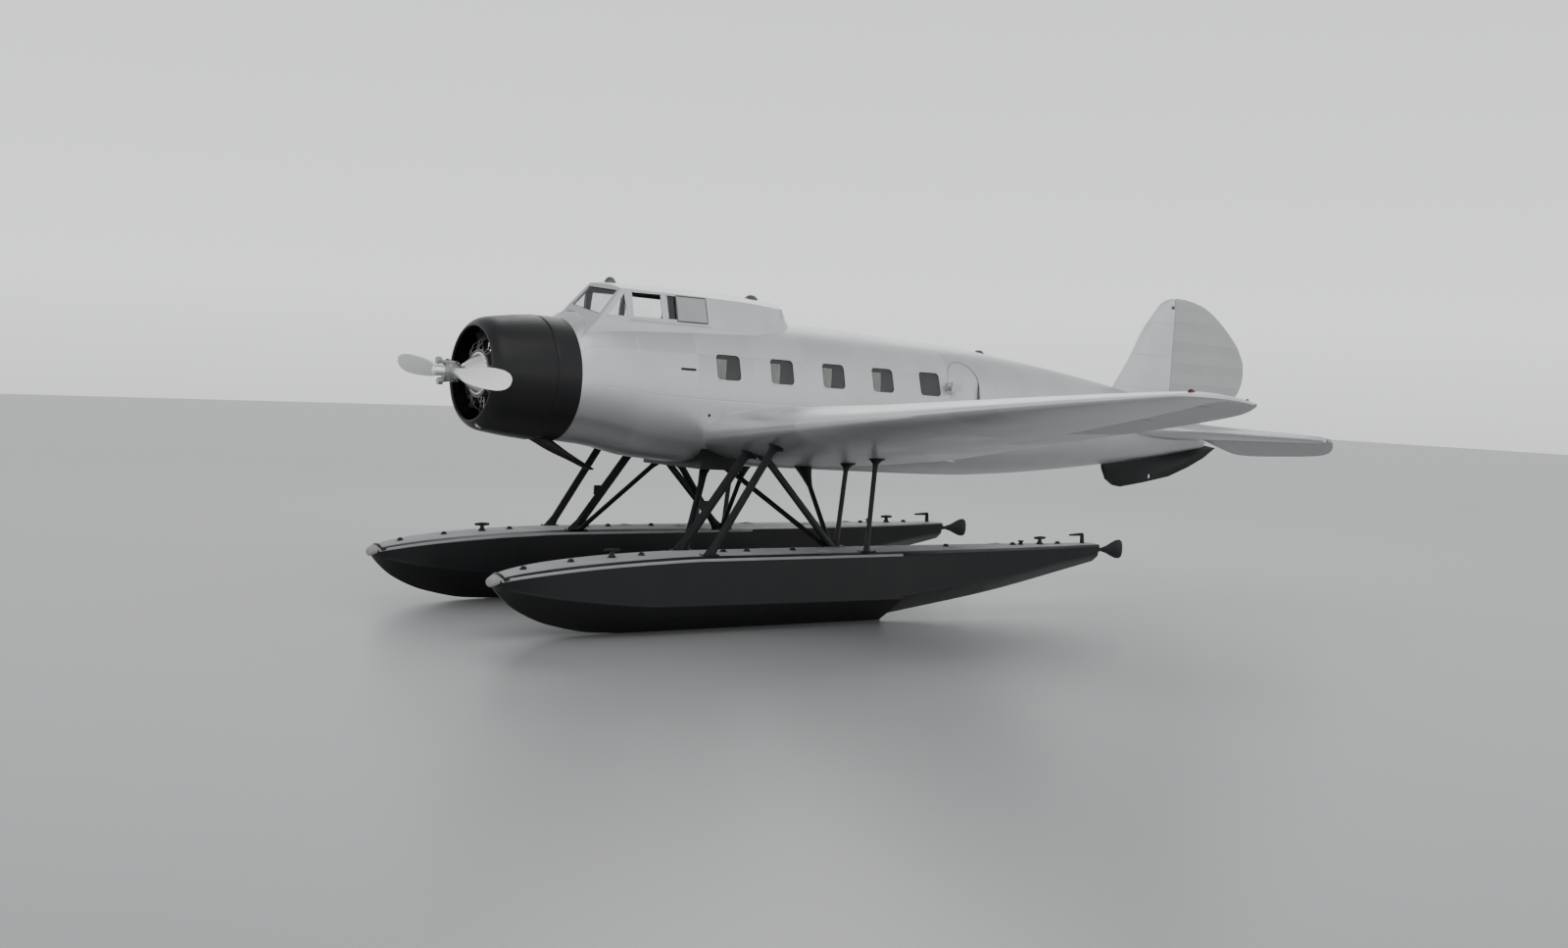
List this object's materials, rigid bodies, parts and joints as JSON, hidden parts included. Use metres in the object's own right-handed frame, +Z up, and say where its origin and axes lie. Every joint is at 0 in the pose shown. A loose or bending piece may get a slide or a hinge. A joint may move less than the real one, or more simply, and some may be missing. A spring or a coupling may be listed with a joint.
{
  "type": "float-equipped airliner",
  "caption": "Vintage low-wing airliner with a cowled radial engine, a raised cockpit canopy and a rounded tail, standing on a pair of long floats.",
  "frame": {"origin": "on the floor under the middle of the overall box: the keels of the floats rest at z = 0", "axes": "+X aft, with the nose towards -X; +Y to starboard, along the wing span; +Z up"},
  "size_m": [13.1986, 16.136, 4.2165],
  "materials": {
    "silver_skin": "bright aluminium paint over riveted sheet",
    "doped_fabric": "silver dope over ribs",
    "cowl_black": "gloss enamel",
    "float_black": "semi-gloss enamel",
    "engine_grey": "satin grey castings",
    "burnt_steel": "heat-stained",
    "bright_alloy": "polished",
    "board_black": "wrinkle black",
    "seat_leather": "worn",
    "pane_glass": "clear flat sheet",
    "bumper_rubber": "grey coated"
  },
  "bodies": {
    "airframe": {"fuselage": "silver_skin", "canopy_frame": "silver_skin", "fin": "silver_skin", "cowl_ring": "cowl_black", "rear_cowl": "cowl_black", "engine": "engine_grey", "exhaust": "burnt_steel", "instrument_board": "board_black", "control_columns": "board_black", "belly_fitting": "float_black", "ventral_fin": "float_black", "port_windscreen_pane": "pane_glass", "port_quarter_pane": "pane_glass", "port_rear_pane": "pane_glass", "port_seat": "seat_leather", "port_wing_root": "silver_skin", "port_wing_panel": "silver_skin", "port_stabiliser": "silver_skin", "port_float": "float_black", "port_float_bumper": "bumper_rubber", "port_front_outboard_strut": "float_black", "port_front_inboard_strut": "float_black", "port_front_belly_strut": "float_black", "port_rear_inboard_strut": "float_black", "port_rear_outboard_strut": "float_black", "port_rear_root_strut": "float_black", "port_drag_strut": "float_black", "port_rear_belly_strut": "float_black", "starboard_windscreen_pane": "pane_glass", "starboard_quarter_pane": "pane_glass", "starboard_rear_pane": "pane_glass", "starboard_seat": "seat_leather", "starboard_wing_root": "silver_skin", "starboard_wing_panel": "silver_skin", "starboard_stabiliser": "silver_skin", "starboard_float": "float_black", "starboard_float_bumper": "bumper_rubber", "starboard_front_outboard_strut": "float_black", "starboard_front_inboard_strut": "float_black", "starboard_front_belly_strut": "float_black", "starboard_rear_inboard_strut": "float_black", "starboard_rear_outboard_strut": "float_black", "starboard_rear_root_strut": "float_black", "starboard_drag_strut": "float_black", "starboard_rear_belly_strut": "float_black", "starboard_front_pane": "pane_glass"},
    "propeller": {"propeller_hub": "bright_alloy", "propeller_blade_1": "bright_alloy", "propeller_blade_2": "bright_alloy"},
    "cabin_door": {"cabin_door": "silver_skin"},
    "port_aileron": {"port_aileron": "doped_fabric"},
    "starboard_aileron": {"starboard_aileron": "doped_fabric"},
    "elevators": {"port_elevator": "doped_fabric", "starboard_elevator": "doped_fabric"},
    "rudder": {"rudder": "doped_fabric"},
    "port_rudder_head": {"port_rudder_head": "float_black"},
    "starboard_rudder_head": {"starboard_rudder_head": "float_black"},
    "port_water_rudder": {"port_water_rudder": "float_black"},
    "starboard_water_rudder": {"starboard_water_rudder": "float_black"}
  },
  "joints": [
    {"name": "propeller_spin", "type": "hinge", "parent": "airframe", "child": "propeller", "pos_m": [-6.35989, 0, 2.75432], "axis": [0.9995, 0, -0.0314], "continuous": true},
    {"name": "cabin_door_swing", "type": "hinge", "parent": "airframe", "child": "cabin_door", "pos_m": [0.18189, -0.829, 2.54874], "axis": [0.0314, 0, 0.9995], "range_deg": [-95, 0]},
    {"name": "port_aileron_turn", "type": "hinge", "parent": "airframe", "child": "port_aileron", "pos_m": [-2.1068, -6.415, 2.63939], "axis": [0.298, 0.9482, -0.1104], "range_deg": [-20, 20]},
    {"name": "starboard_aileron_turn", "type": "hinge", "parent": "airframe", "child": "starboard_aileron", "pos_m": [-2.1068, 6.415, 2.63939], "axis": [-0.298, 0.9482, 0.1104], "range_deg": [-20, 20]},
    {"name": "elevators_turn", "type": "hinge", "parent": "airframe", "child": "elevators", "pos_m": [5.42447, 0, 2.29394], "axis": [0, 1, 0], "range_deg": [-47, 0]},
    {"name": "rudder_turn", "type": "hinge", "parent": "airframe", "child": "rudder", "pos_m": [5.04577, 0, 3.29633], "axis": [0.0314, 0, 0.9995], "range_deg": [-25, 25]},
    {"name": "port_water_rudder_steer", "type": "hinge", "parent": "airframe", "child": "port_rudder_head", "pos_m": [2.088, -1.575, 0.768], "axis": [0, 0, 1], "range_deg": [-30, 30]},
    {"name": "port_water_rudder_lift", "type": "hinge", "parent": "port_rudder_head", "child": "port_water_rudder", "pos_m": [2.165, -1.575, 0.768], "axis": [0, 1, 0], "range_deg": [0, 85]},
    {"name": "starboard_water_rudder_steer", "type": "hinge", "parent": "airframe", "child": "starboard_rudder_head", "pos_m": [2.088, 1.575, 0.768], "axis": [0, 0, 1], "range_deg": [-30, 30]},
    {"name": "starboard_water_rudder_lift", "type": "hinge", "parent": "starboard_rudder_head", "child": "starboard_water_rudder", "pos_m": [2.165, 1.575, 0.768], "axis": [0, 1, 0], "range_deg": [0, 85]}
  ],
  "couplings": [
    {"joint": "starboard_aileron_turn", "follows": "port_aileron_turn", "ratio": -1},
    {"joint": "starboard_water_rudder_steer", "follows": "port_water_rudder_steer", "ratio": 1},
    {"joint": "starboard_water_rudder_lift", "follows": "port_water_rudder_lift", "ratio": 1}
  ]
}
